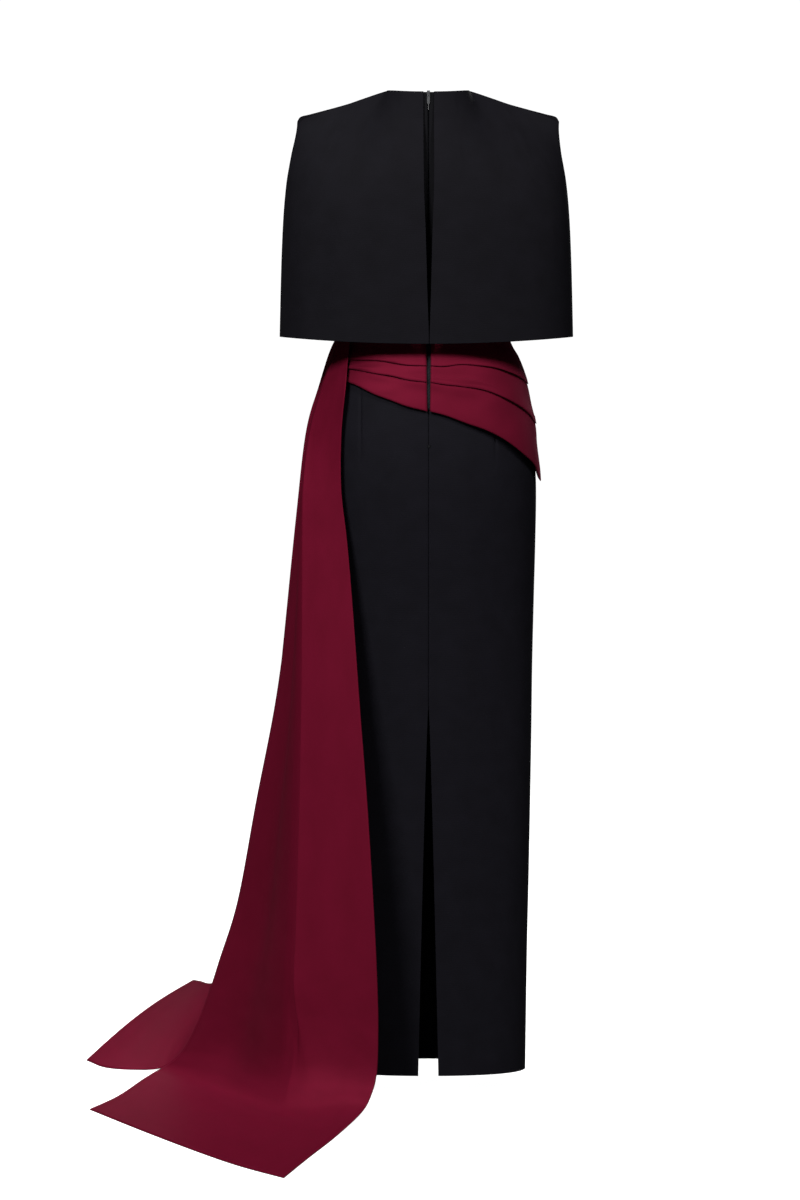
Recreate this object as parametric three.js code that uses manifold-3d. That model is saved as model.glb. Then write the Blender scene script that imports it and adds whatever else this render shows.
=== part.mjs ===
// A worn evening gown with no wearer: crepe cape and column skirt, satin hip drape and a train of two tails.
// Millimetres, +Z up. The back faces -Y, the wearer's left is -X, and the neckline is at Z 0.
import * as THREE from 'three';
import { mergeVertices } from 'three/addons/utils/BufferGeometryUtils.js';
import Module from 'manifold-3d';

const wasm = await Module();
wasm.setup();

// Sizes that drive the gown
const waistHeight = -350;
const hemHeight = -1488;
const floorHeight = -1512;
const slitTop = -926;
const zipEnd = -530;
const roundness = 2.3;

const capeCloth = 2;
const bodiceCloth = 1.2;
const skirtCloth = 1.5;
const drapeCloth = 1.8;
const trainCloth = 1.5;
const tapeCloth = 0.8;
const seamGap = 0.3;
const seamReach = 2;
const floorClear = 0.3;

// The general figure under the cloth: half width, and how far the back and the front stand from the middle
const figureRows = [
  { z: -60, half: 118, back: 82, front: 78 },
  { z: -120, half: 134, back: 95, front: 98 },
  { z: -190, half: 139, back: 96, front: 114 },
  { z: -240, half: 132, back: 91, front: 110 },
  { z: -300, half: 120, back: 83, front: 88 },
  { z: -350, half: 116, back: 82, front: 78 },
  { z: -382, half: 121, back: 86, front: 80 },
  { z: -403, half: 132, back: 93, front: 84 },
  { z: -436, half: 143, back: 101, front: 89 },
  { z: -504, half: 157, back: 112, front: 94 },
  { z: -545, half: 161, back: 116, front: 95 },
  { z: -600, half: 164, back: 116, front: 95 },
  { z: -684, half: 163, back: 109, front: 93 },
  { z: -762, half: 161, back: 101, front: 91 },
  { z: -872, half: 158.5, back: 93, front: 88 },
  { z: -995, half: 157, back: 87, front: 84 },
  { z: -1192, half: 153.5, back: 80, front: 78 },
  { z: -1307, half: 151, back: 76, front: 75 },
  { z: -1488, half: 148.5, back: 72, front: 72 },
];

// The cape stands away from the figure
const capeRows = [
  { z: -47, half: 198.5, back: 82, front: 90 },
  { z: -75, half: 206, back: 97, front: 108 },
  { z: -100, half: 210.5, back: 105, front: 120 },
  { z: -140, half: 215.5, back: 110, front: 129 },
  { z: -240, half: 219.5, back: 115, front: 134 },
  { z: -384, half: 223, back: 121, front: 137 },
];
const capeNeck = { half: 62, back: 58.5, front: 56, backDrop: 4.4, frontDrop: 26 };
const capeShoulderRows = [
  { along: 0, x: 62, z: 0 },
  { along: 0.1, x: 75, z: -4 },
  { along: 0.28, x: 100, z: -12.5 },
  { along: 0.46, x: 124, z: -20.7 },
  { along: 0.87, x: 180, z: -36 },
  { along: 0.95, x: 194, z: -40 },
  { along: 1, x: 198.5, z: -47 },
];
const capeHem = { side: -373, backDip: 10.3 };
// The cape hangs a little to the wearer's left, apart from its centre-back edges
const capeSway = { reach: -2.7, from: 0.15, clear: 60 };

// The centre-back opening of the cape, narrowing to the hem: x of its left and right edges
const capeOpeningRows = [
  { z: 0, left: -7.4, right: 8.3 },
  { z: -146, left: -6.5, right: 8.3 },
  { z: -213, left: -4.2, right: 5.9 },
  { z: -312, left: -1.5, right: 3.3 },
  { z: -367, left: 0.3, right: 1.5 },
  { z: -384, left: 0.4, right: 1.2 },
];

// The sleeveless bodice under the cape: neckline, shoulder strap, then the armhole down to the side
const bodiceNeck = { half: 59.1, back: 56.1, front: 53.6, backDrop: 5.4, sideDrop: 4, frontDrop: 28 };
const bodiceZipHalf = 1;
const strapRows = [
  { along: 0, x: 59.1, z: -4 },
  { along: 1, x: 100, z: -17 },
];
const armholeRows = [
  { along: 0, x: 100, z: -17 },
  { along: 0.25, x: 105, z: -58 },
  { along: 0.5, x: 112, z: -108 },
  { along: 0.75, x: 123, z: -158 },
  { along: 1, x: 139, z: -195 },
];
const armholeScoop = 42;

// Heights of the three tucks of the hip drape round the gown; side is -1 at the left seam and 1 at the right
const tuckRows = [
  { side: -1, first: -408, second: -418, lower: -436 },
  { side: -0.75, first: -409, second: -421, lower: -445 },
  { side: -0.35, first: -414, second: -432, lower: -466 },
  { side: 0, first: -416, second: -442, lower: -484 },
  { side: 0.35, first: -417, second: -450, lower: -501 },
  { side: 0.65, first: -423, second: -462, lower: -521 },
  { side: 0.85, first: -432, second: -480, lower: -546 },
  { side: 1, first: -445, second: -508, lower: -598 },
];
// How far the tucked cloth stands from the skirt down each tuck: a fold edge stands proud, then steps in
const tuckStep = 3;
const tuckStands = { top: 3.2, foldFirst: 7.2, foldSecond: 6.8, lower: 5.8, stepIn: 3 };
const drapeZip = { top: 3, bottom: 1.8 };
const slit = { half: 15, curve: 0.8 };

// The front tail of the train, from the waist over the floor: left edge, knife fold and right edge
const frontTailRows = [
  { lx: -121.8, ly: 14, lz: -352, kx: -121.2, ky: -18, rx: -110.7, ry: -48.8, rz: -352 },
  { lx: -141, ly: 12, lz: -383, kx: -138, ky: -22, rx: -119, ry: -58, rz: -384 },
  { lx: -166, ly: 15, lz: -448, kx: -161, ky: -34, rx: -125, ry: -84, rz: -450 },
  { lx: -187, ly: 20, lz: -519, kx: -180, ky: -46, rx: -131, ry: -90, rz: -518 },
  { lx: -197, ly: 27, lz: -600, kx: -189, ky: -68, rx: -131, ry: -97, rz: -600 },
  { lx: -206, ly: 36, lz: -680, kx: -190, ky: -80, rx: -122, ry: -107, rz: -679 },
  { lx: -218, ly: 43, lz: -783, kx: -190, ky: -92, rx: -114, ry: -121, rz: -770 },
  { lx: -237, ly: 53, lz: -932, kx: -190.5, ky: -112, rx: -102, ry: -148, rz: -930 },
  { lx: -263, ly: 65, lz: -1087, kx: -193, ky: -130, rx: -91, ry: -170, rz: -1070 },
  { lx: -292, ly: 75, lz: -1242, kx: -197, ky: -152, rx: -81, ry: -193, rz: -1230 },
  { lx: -321, ly: 82, lz: -1336, kx: -201, ky: -163, rx: -76, ry: -206, rz: -1335 },
  { lx: -342, ly: 87, lz: -1400, kx: -202, ky: -168, rx: -75, ry: -212, rz: -1400 },
  { lx: -366, ly: 92, lz: -1457, kx: -204, ky: -166, rx: -77, ry: -221, rz: -1458 },
  { lx: -387, ly: 96, lz: -1490, kx: -208, ky: -158, rx: -86, ry: -240, rz: -1490 },
  { lx: -413, ly: 98, lz: -1510, kx: -210, ky: -150, rx: -103, ry: -280, rz: -1510 },
  { lx: -432, ly: 10, lz: -1510, kx: -238, ky: -272, rx: -136, ry: -420, rz: -1510 },
  { lx: -465, ly: -110, lz: -1510, kx: -272, ky: -401, rx: -170, ry: -555, rz: -1510 },
  { lx: -500, ly: -212, lz: -1510, kx: -303, ky: -520, rx: -200, ry: -683, rz: -1510 },
];
const kneeRow = 14;
const kneeFade = 3;
const hemBow = 28;
const headWidth = 70;
const foldWidth = 300;
const knifeFold = { at: 0.5, depth: 7, under: 0.05 };
// Soft folds between the left edge and the knife fold: place across, reach outwards, and half width
const softFolds = [
  { name: 'ridge', across: 0.36, reach: 7, spread: 0.1 },
  { name: 'valley', across: 0.2, reach: -9, spread: 0.1 },
];

// The rear tail behind it: near edge and far edge, with the rise of the cloth between them
const rearTailRows = [
  { nx: -118.8, ny: 24, nz: -352, fx: -107.2, fy: 50.2, fz: -352, rise: 0 },
  { nx: -140, ny: 27, nz: -385, fx: -129, fy: 57, fz: -385, rise: 0 },
  { nx: -150, ny: 40, nz: -450, fx: -138, fy: 84, fz: -450, rise: 0 },
  { nx: -165, ny: 50, nz: -520, fx: -146, fy: 108, fz: -520, rise: 0 },
  { nx: -180, ny: 62, nz: -650, fx: -152, fy: 140, fz: -640, rise: 0 },
  { nx: -205, ny: 78, nz: -850, fx: -168, fy: 196, fz: -840, rise: 0 },
  { nx: -240, ny: 94, nz: -1060, fx: -187, fy: 264, fz: -1040, rise: 0 },
  { nx: -285, ny: 108, nz: -1260, fx: -219, fy: 352, fz: -1230, rise: 2 },
  { nx: -330, ny: 117, nz: -1390, fx: -258, fy: 444, fz: -1345, rise: 4 },
  { nx: -368, ny: 119, nz: -1465, fx: -294, fy: 530, fz: -1415, rise: 6 },
  { nx: -400, ny: 114, nz: -1502, fx: -330, fy: 606, fz: -1452, rise: 8 },
  { nx: -432, ny: 103, nz: -1510, fx: -364, fy: 664, fz: -1469, rise: 10 },
  { nx: -497, ny: 117, nz: -1510, fx: -382, fy: 690, fz: -1469.5, rise: 10 },
  { nx: -536, ny: 181, nz: -1510, fx: -395, fy: 700, fz: -1469, rise: 10 },
];

// The metal slider and its pull tab
const slider = { width: 4.6, height: 8.5, depth: 2.4, top: -3.5, shoulder: 0.55, toe: 0.6, clear: 0.5 };
const bail = { thick: 1.2, bar: 1, openHeight: 3.2, openDepth: 1.9, below: 1, rooted: 0.5 };
const tab = { width: 4.2, thick: 1, reach: 15, bar: 1, windowWidth: 2.3, windowEnd: 3.7 };
const tape = { width: 12, inset: 3.6, below: 2 };

function plainLook(colour, roughness, metalness) {
  return new THREE.MeshStandardMaterial({ color: colour, roughness, metalness, side: THREE.DoubleSide });
}

const looks = {
  capeCrepe: () => plainLook(0x1c1c20, 0.85, 0),
  bodiceCrepe: () => plainLook(0x131317, 0.85, 0),
  skirtCrepe: () => plainLook(0x17171c, 0.85, 0),
  satin: () => plainLook(0x64172b, 0.45, 0),
  tape: () => plainLook(0x0c0c10, 0.7, 0),
  nickel: () => plainLook(0xc9ccd2, 0.25, 1),
};

// Value of one column at a place along the rows, by a smooth curve through them
function along(rows, key, at, column) {
  const last = rows.length - 1;
  const way = Math.sign(rows[last][key] - rows[0][key]);
  const place = THREE.MathUtils.clamp(at * way, rows[0][key] * way, rows[last][key] * way) * way;
  let i = 0;
  while (i < last - 1 && rows[i + 1][key] * way < place * way) {
    i += 1;
  }
  const slope = (k) => {
    const before = rows[Math.max(k - 1, 0)];
    const after = rows[Math.min(k + 1, last)];
    return (after[column] - before[column]) / (after[key] - before[key]);
  };
  const span = rows[i + 1][key] - rows[i][key];
  const s = (place - rows[i][key]) / span;
  const rising = s * s * (3 - 2 * s);
  return rows[i][column] * (1 - rising) + rows[i + 1][column] * rising
    + span * (slope(i) * s * (1 - s) * (1 - s) - slope(i + 1) * s * s * (1 - s));
}

function evenStops(count) {
  return Array.from({ length: count + 1 }, (_, i) => i / count);
}

function bothHalves(stops) {
  const left = stops.map((s) => (1 - s) / 2).reverse();
  return [...left, ...stops.slice(1).map((s) => (1 + s) / 2)];
}

// How far cloth has come from its top edge to the figure below it; a higher power comes to it sooner
function fallen(v, power) {
  return 1 - (1 - v) ** power;
}

function normalAt(surface, u, v) {
  const reach = 0.004;
  const point = (a, b) => surface(THREE.MathUtils.clamp(a, 0, 1), THREE.MathUtils.clamp(b, 0, 1));
  const across = point(u + reach, v).sub(point(u - reach, v));
  const down = point(u, v + reach).sub(point(u, v - reach));
  return across.cross(down).normalize();
}

// A closed wall of cloth: the outer face is surface(u, v), and the inner face lies one thickness inside it
function clothWall(name, look, cloth) {
  const { surface, across, down, thickness, side = 1, seam = false, lean = null } = cloth;
  const columns = across.length;
  const outer = [];
  const inner = [];
  for (const v of down) {
    for (const u of across) {
      const point = surface(u, v);
      const normal = lean ? lean(u, v) : normalAt(surface, u, v).multiplyScalar(side);
      if (seam && Math.abs(point.y) < seamReach) {
        normal.y = 0;
        normal.normalize();
      }
      outer.push(point);
      inner.push(point.clone().addScaledVector(normal, -thickness));
    }
  }
  const points = [...outer, ...inner];
  const index = [];
  const quad = (a, b, c, d) => index.push(a, b, c, a, c, d);
  const skip = outer.length;
  for (let j = 0; j < down.length - 1; j += 1) {
    for (let i = 0; i < columns - 1; i += 1) {
      const a = j * columns + i;
      quad(a, a + 1, a + 1 + columns, a + columns);
      quad(skip + a, skip + a + columns, skip + a + 1 + columns, skip + a + 1);
    }
  }
  const rim = [];
  for (let i = 0; i < columns - 1; i += 1) rim.push(i);
  for (let j = 0; j < down.length - 1; j += 1) rim.push(j * columns + columns - 1);
  for (let i = columns - 1; i > 0; i -= 1) rim.push((down.length - 1) * columns + i);
  for (let j = down.length - 1; j > 0; j -= 1) rim.push(j * columns);
  rim.forEach((from, k) => {
    const to = rim[(k + 1) % rim.length];
    quad(to, from, skip + from, skip + to);
  });
  return closedMesh(name, look, points, index);
}

// Turns the faces outwards where the walls were wound the other way
function closedMesh(name, look, points, index) {
  let volume = 0;
  for (let t = 0; t < index.length; t += 3) {
    const [a, b, c] = [points[index[t]], points[index[t + 1]], points[index[t + 2]]];
    volume += a.dot(b.clone().cross(c));
  }
  const facing = volume < 0 ? index.slice().reverse() : index;
  const geometry = new THREE.BufferGeometry();
  geometry.setAttribute('position', new THREE.Float32BufferAttribute(points.flatMap((p) => [p.x, p.y, p.z]), 3));
  geometry.setIndex(facing);
  geometry.computeVertexNormals();
  return namedMesh(name, look, geometry);
}

function namedMesh(name, look, geometry) {
  const mesh = new THREE.Mesh(geometry, look);
  mesh.name = name;
  return mesh;
}

// A point on a rounded section: turn is 0 at the middle and 1 at the side seam
function soften(value) {
  return Math.sign(value) * Math.abs(value) ** (2 / roundness);
}

function ringPoint(rows, z, turn, hand, face, stand = 0) {
  const angle = turn * Math.PI / 2;
  const half = along(rows, 'z', z, 'half') + stand;
  const depth = along(rows, 'z', z, face) + stand;
  const way = face === 'back' ? -1 : 1;
  return new THREE.Vector3(hand * half * soften(Math.sin(angle)), way * depth * soften(Math.cos(angle)), z);
}

// The turn at which a panel's middle edge lies at a distance x from the middle
function edgeTurn(rows, z, x) {
  const share = x / along(rows, 'z', z, 'half');
  return Math.asin(Math.sign(share) * Math.abs(share) ** (roundness / 2)) / (Math.PI / 2);
}

function clearOfSeam(point, face) {
  const way = face === 'back' ? -1 : 1;
  if (point.y * way < seamGap / 2) {
    point.y = way * seamGap / 2;
  }
  return point;
}

// Cape: each column of cloth starts on the neckline or shoulder seam and falls to the hem
const capeNeckShare = 0.32;
const capeFall = 5;
const capeDown = [0, 0.02, 0.05, 0.09, 0.14, 0.2, 0.28, 0.4, 0.6, 0.8, 1];

function capeTop(u, hand, face) {
  const way = face === 'back' ? -1 : 1;
  if (u < capeNeckShare) {
    const angle = (u / capeNeckShare) * Math.PI / 2;
    const drop = face === 'back' ? capeNeck.backDrop : capeNeck.frontDrop;
    const reach = capeNeck[face];
    return new THREE.Vector3(
      hand * capeNeck.half * Math.sin(angle), way * reach * Math.cos(angle), -drop * Math.cos(angle) ** 2);
  }
  const s = (u - capeNeckShare) / (1 - capeNeckShare);
  return new THREE.Vector3(
    hand * along(capeShoulderRows, 'along', s, 'x'), 0, along(capeShoulderRows, 'along', s, 'z'));
}

function capePoint(u, v, hand, face, edge) {
  const top = capeTop(u, hand, face);
  const share = soften(Math.sin(u * Math.PI / 2));
  const dip = face === 'back' ? capeHem.backDip * (1 - share * share) : 0;
  const z = THREE.MathUtils.lerp(top.z, capeHem.side - dip, v);
  const start = edge ? edgeTurn(capeRows, z, edge(z)) : 0;
  const onRing = ringPoint(capeRows, z, start + (1 - start) * u, hand, face);
  const falling = fallen(v, capeFall);
  const point = new THREE.Vector3(0, THREE.MathUtils.lerp(top.y, onRing.y, falling), z);
  point.x = THREE.MathUtils.lerp(top.x, onRing.x, falling);
  if (edge && u < capeNeckShare) {
    point.x += hand * edge(z) * (1 - falling) * (1 - u / capeNeckShare);
  }
  point.x += capeSway.reach * Math.min(v / capeSway.from, 1) * Math.min(Math.abs(point.x) / capeSway.clear, 1);
  return clearOfSeam(point, face);
}

function capeBack(name, hand, edge) {
  return clothWall(name, looks.capeCrepe(), {
    surface: (u, v) => capePoint(u, v, hand, 'back', edge),
    across: [0, 0.08, 0.16, 0.24, 0.32, 0.4, 0.5, 0.62, 0.74, 0.86, 0.95, 1],
    down: capeDown, thickness: capeCloth, side: -hand, seam: true,
  });
}

function capeFront(name) {
  return clothWall(name, looks.capeCrepe(), {
    surface: (u, v) => capePoint(Math.abs(2 * u - 1), v, Math.sign(u - 0.5) || 1, 'front', null),
    across: evenStops(22),
    down: capeDown, thickness: capeCloth, side: 1, seam: true,
  });
}

// Bodice
const bodiceShares = { neck: 0.34, strap: 0.5 };
const bodiceFall = 3;
const bodiceAcross = [0, 0.11, 0.22, 0.34, 0.42, 0.5, 0.63, 0.76, 0.88, 1];
const bodiceDown = [0, 0.06, 0.13, 0.22, 0.34, 0.5, 0.7, 0.85, 1];

function bodiceTop(u, hand, face) {
  const way = face === 'back' ? -1 : 1;
  if (u < bodiceShares.neck) {
    const angle = (u / bodiceShares.neck) * Math.PI / 2;
    const drop = face === 'back' ? bodiceNeck.backDrop : bodiceNeck.frontDrop;
    return new THREE.Vector3(
      hand * bodiceNeck.half * Math.sin(angle), way * bodiceNeck[face] * Math.cos(angle),
      -bodiceNeck.sideDrop * Math.sin(angle) ** 2 - drop * Math.cos(angle) ** 2);
  }
  if (u < bodiceShares.strap) {
    const s = (u - bodiceShares.neck) / (bodiceShares.strap - bodiceShares.neck);
    return new THREE.Vector3(hand * along(strapRows, 'along', s, 'x'), 0, along(strapRows, 'along', s, 'z'));
  }
  const s = (u - bodiceShares.strap) / (1 - bodiceShares.strap);
  return new THREE.Vector3(
    hand * along(armholeRows, 'along', s, 'x'), way * armholeScoop * Math.sin(Math.PI * s),
    along(armholeRows, 'along', s, 'z'));
}

function bodicePoint(u, v, hand, face, half) {
  const top = bodiceTop(u, hand, face);
  const z = THREE.MathUtils.lerp(top.z, waistHeight + seamGap, v);
  const start = half ? edgeTurn(figureRows, z, half) : 0;
  const onRing = ringPoint(figureRows, z, start + (1 - start) * u, hand, face);
  const falling = fallen(v, bodiceFall);
  const point = top.lerp(onRing, falling);
  point.z = z;
  if (half && u < bodiceShares.neck) {
    point.x += hand * half * (1 - falling) * (1 - u / bodiceShares.neck);
  }
  return clearOfSeam(point, face);
}

function bodiceBack(name, hand) {
  return clothWall(name, looks.bodiceCrepe(), {
    surface: (u, v) => bodicePoint(u, v, hand, 'back', bodiceZipHalf),
    across: bodiceAcross, down: bodiceDown,
    thickness: bodiceCloth, side: -hand, seam: true,
  });
}

function bodiceFront(name) {
  return clothWall(name, looks.bodiceCrepe(), {
    surface: (u, v) => bodicePoint(Math.abs(2 * u - 1), v, Math.sign(u - 0.5) || 1, 'front', 0),
    across: bothHalves(bodiceAcross), down: bodiceDown,
    thickness: bodiceCloth, side: 1, seam: true,
  });
}

// Skirt, with the slit opening below its top to the hem
function slitEdge(z) {
  const opened = THREE.MathUtils.clamp((slitTop - z) / (slitTop - hemHeight), 0, 1);
  return seamGap / 2 + slit.half * opened ** slit.curve;
}

function skirtPoint(u, v, hand, face) {
  const z = THREE.MathUtils.lerp(waistHeight, hemHeight, v);
  const start = face === 'back' ? edgeTurn(figureRows, z, slitEdge(z)) : 0;
  return clearOfSeam(ringPoint(figureRows, z, start + (1 - start) * u, hand, face), face);
}

const skirtStops = [0, 0.03, 0.06, 0.1, 0.15, 0.22, 0.3, 0.4, 0.506, 0.6, 0.7, 0.85, 1];

function skirtBack(name, hand) {
  return clothWall(name, looks.skirtCrepe(), {
    surface: (u, v) => skirtPoint(u, v, hand, 'back'),
    across: evenStops(9), down: skirtStops, thickness: skirtCloth, side: -hand, seam: true,
  });
}

function skirtFront(name) {
  return clothWall(name, looks.skirtCrepe(), {
    surface: (u, v) => skirtPoint(Math.abs(2 * u - 1), v, Math.sign(u - 0.5) || 1, 'front'),
    across: evenStops(18), down: skirtStops, thickness: skirtCloth, side: 1, seam: true,
  });
}

// Hip drape: stops down one column, from the waist over two folded tucks to the lower edge
function tuckColumn(side) {
  const first = along(tuckRows, 'side', side, 'first');
  const second = along(tuckRows, 'side', side, 'second');
  const lower = along(tuckRows, 'side', side, 'lower');
  const stands = tuckStands;
  return [
    { z: waistHeight, stand: stands.top },
    { z: (waistHeight + first) / 2, stand: (stands.top + stands.foldFirst) / 2 },
    { z: first + tuckStep / 2, stand: stands.foldFirst },
    { z: first - tuckStep / 2, stand: stands.stepIn },
    { z: (first + second) / 2, stand: (stands.stepIn + stands.foldSecond) / 2 },
    { z: second + tuckStep / 2, stand: stands.foldSecond },
    { z: second - tuckStep / 2, stand: stands.stepIn },
    { z: (second + lower) / 2, stand: (stands.stepIn + stands.lower) / 2 },
    { z: lower, stand: stands.lower },
  ];
}
const tuckStops = 9;

function drapePoint(u, row, hand, face, inset) {
  const zipHalf = (z) => {
    const run = THREE.MathUtils.clamp((waistHeight - z) / (waistHeight - along(tuckRows, 'side', 0, 'lower')), 0, 1);
    return THREE.MathUtils.lerp(drapeZip.top, drapeZip.bottom, run);
  };
  const stop = tuckColumn(hand * soften(Math.sin(u * Math.PI / 2)))[row];
  const start = face === 'back' ? edgeTurn(figureRows, stop.z, zipHalf(stop.z)) : 0;
  return clearOfSeam(ringPoint(figureRows, stop.z, start + (1 - start) * u, hand, face, stop.stand - inset), face);
}

// The drape is thick along the skirt's own outward direction, so that its steps stay sound
function drapePanel(name, face, across, place) {
  const surface = (u, v) => {
    const { turn, hand } = place(u);
    return drapePoint(turn, Math.round(v * (tuckStops - 1)), hand, face, 0);
  };
  const lean = (u, v) => {
    const { turn, hand } = place(u);
    const row = Math.round(v * (tuckStops - 1));
    return drapePoint(turn, row, hand, face, 0).sub(drapePoint(turn, row, hand, face, 1));
  };
  return clothWall(name, looks.satin(), {
    surface, across, down: evenStops(tuckStops - 1), thickness: drapeCloth, seam: true, lean,
  });
}

// Outer face of the gown's back at a height, a distance x from the middle
function backOfGown(z, x = 0) {
  const share = Math.abs(x) / along(figureRows, 'z', z, 'half');
  const onFigure = -along(figureRows, 'z', z, 'back') * (1 - share ** roundness) ** (1 / roundness);
  if (z < waistHeight) {
    return onFigure;
  }
  const top = -bodiceNeck.backDrop;
  const v = THREE.MathUtils.clamp((z - top) / (waistHeight + seamGap - top), 0, 1);
  const onNeck = -bodiceNeck.back * Math.sqrt(1 - (x / bodiceNeck.half) ** 2);
  return THREE.MathUtils.lerp(onNeck, onFigure, fallen(v, bodiceFall));
}

// Zip tapes inside the centre-back edges
function zipTape(name, hand) {
  const top = -bodiceNeck.backDrop - tape.below;
  return clothWall(name, looks.tape(), {
    surface: (u, v) => {
      const z = THREE.MathUtils.lerp(top, zipEnd, v);
      const x = hand * THREE.MathUtils.lerp(seamGap / 2, tape.width, u);
      return new THREE.Vector3(x, backOfGown(z, x) + tape.inset, z);
    },
    across: [0, 1], down: evenStops(18), thickness: tapeCloth, side: -hand,
  });
}

// Train
function acrossFrontTail(row, u) {
  const left = new THREE.Vector3(row.lx, row.ly, row.lz);
  const right = new THREE.Vector3(row.rx, row.ry, row.rz);
  const fold = new THREE.Vector3(row.kx, row.ky, THREE.MathUtils.lerp(row.lz, row.rz, knifeFold.at));
  const point = u < knifeFold.at
    ? left.clone().lerp(fold, u / knifeFold.at)
    : fold.clone().lerp(right, (u - knifeFold.at) / (1 - knifeFold.at));
  const outwards = new THREE.Vector3(right.y - left.y, left.x - right.x, 0).normalize();
  const width = left.distanceTo(right);
  let reach = 0;
  for (const soft of softFolds) {
    reach += soft.reach * Math.exp(-(((u - soft.across) / soft.spread) ** 2));
  }
  const tuckedUnder = u < knifeFold.at && u > knifeFold.at - knifeFold.under ? -knifeFold.depth : 0;
  const share = THREE.MathUtils.clamp((width - headWidth) / (foldWidth - headWidth), 0, 1);
  return { point, outwards, reach: (reach + tuckedUnder) * share };
}

function frontTailPoint(u, v) {
  const place = v * (frontTailRows.length - 1);
  const row = { index: place };
  for (const key of Object.keys(frontTailRows[0])) {
    row[key] = along(frontTailRows.map((r, i) => ({ ...r, index: i })), 'index', place, key);
  }
  const { point, outwards, reach } = acrossFrontTail(row, u);
  const fading = THREE.MathUtils.clamp((kneeRow - place) / kneeFade, 0, 1);
  const bowing = THREE.MathUtils.clamp((place - kneeRow) / (frontTailRows.length - 1 - kneeRow), 0, 1);
  point.addScaledVector(outwards, reach * fading);
  point.y -= hemBow * bowing * bowing * Math.sin(Math.PI * u);
  point.z = Math.max(point.z, floorHeight + trainCloth + floorClear);
  return point;
}

function rearTailPoint(u, v) {
  const place = v * (rearTailRows.length - 1);
  const column = (key) => along(rearTailRows.map((r, i) => ({ ...r, index: i })), 'index', place, key);
  const point = new THREE.Vector3(column('nx'), column('ny'), column('nz'))
    .lerp(new THREE.Vector3(column('fx'), column('fy'), column('fz')), u);
  point.z += column('rise') * Math.sin(Math.PI * u);
  point.z = Math.max(point.z, floorHeight + trainCloth + floorClear);
  return point;
}

function trainFrontTail(name) {
  return clothWall(name, looks.satin(), {
    surface: frontTailPoint,
    across: [0, 0.1, 0.2, 0.28, 0.36, 0.455, 0.5, 0.62, 0.75, 0.88, 1],
    down: evenStops(2 * (frontTailRows.length - 1)), thickness: trainCloth, side: -1,
  });
}

function trainRearTail(name) {
  return clothWall(name, looks.satin(), {
    surface: rearTailPoint,
    across: evenStops(6), down: evenStops(2 * (rearTailRows.length - 1)), thickness: trainCloth, side: 1,
  });
}

// Solids joined into one body
function solidOf(geometry) {
  const bare = geometry.index ? geometry.clone() : geometry;
  bare.deleteAttribute('normal');
  bare.deleteAttribute('uv');
  const merged = mergeVertices(bare, 1e-4);
  return new wasm.Manifold(new wasm.Mesh({
    numProp: 3,
    vertProperties: new Float32Array(merged.attributes.position.array),
    triVerts: new Uint32Array(merged.index.array),
  }));
}

function geometryOf(solid) {
  const mesh = solid.getMesh();
  const geometry = new THREE.BufferGeometry();
  geometry.setAttribute('position', new THREE.BufferAttribute(mesh.vertProperties, 3));
  geometry.setIndex(new THREE.BufferAttribute(mesh.triVerts, 1));
  geometry.computeVertexNormals();
  return geometry;
}

// Slider: a shield-shaped body with a small bail standing on its outer face
const sliderBack = backOfGown(slider.top - slider.height) - slider.clear;
const sliderFace = sliderBack - slider.depth;
const hingeY = sliderFace - bail.openDepth / 2;
const hingeZ = slider.top - slider.height / 2 - bail.below;

function sliderMesh(name) {
  const half = slider.width / 2;
  const shield = new THREE.Shape([
    new THREE.Vector2(-half, 0), new THREE.Vector2(-half, -slider.height * slider.shoulder),
    new THREE.Vector2(-half * slider.toe, -slider.height), new THREE.Vector2(half * slider.toe, -slider.height),
    new THREE.Vector2(half, -slider.height * slider.shoulder), new THREE.Vector2(half, 0),
  ]);
  const body = new THREE.ExtrudeGeometry(shield, { depth: slider.depth, bevelEnabled: false });
  body.rotateX(Math.PI / 2);
  body.translate(0, sliderBack, slider.top);
  const opening = bail.openHeight / 2;
  const legs = opening + bail.bar;
  const side = new THREE.Shape([
    new THREE.Vector2(-bail.rooted, -legs), new THREE.Vector2(bail.openDepth + bail.bar, -legs),
    new THREE.Vector2(bail.openDepth + bail.bar, legs), new THREE.Vector2(-bail.rooted, legs),
  ]);
  side.holes.push(new THREE.Path([
    new THREE.Vector2(0, -opening), new THREE.Vector2(0, opening),
    new THREE.Vector2(bail.openDepth, opening), new THREE.Vector2(bail.openDepth, -opening),
  ]));
  const loop = new THREE.ExtrudeGeometry(side, { depth: bail.thick, bevelEnabled: false });
  const outwards = new THREE.Vector3(0, -1, 0);
  const up = new THREE.Vector3(0, 0, 1);
  loop.applyMatrix4(new THREE.Matrix4().makeBasis(outwards, up, outwards.clone().cross(up)));
  loop.translate(bail.thick / 2, sliderFace, hingeZ);
  return namedMesh(name, looks.nickel(), geometryOf(solidOf(body).add(solidOf(loop))));
}

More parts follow.
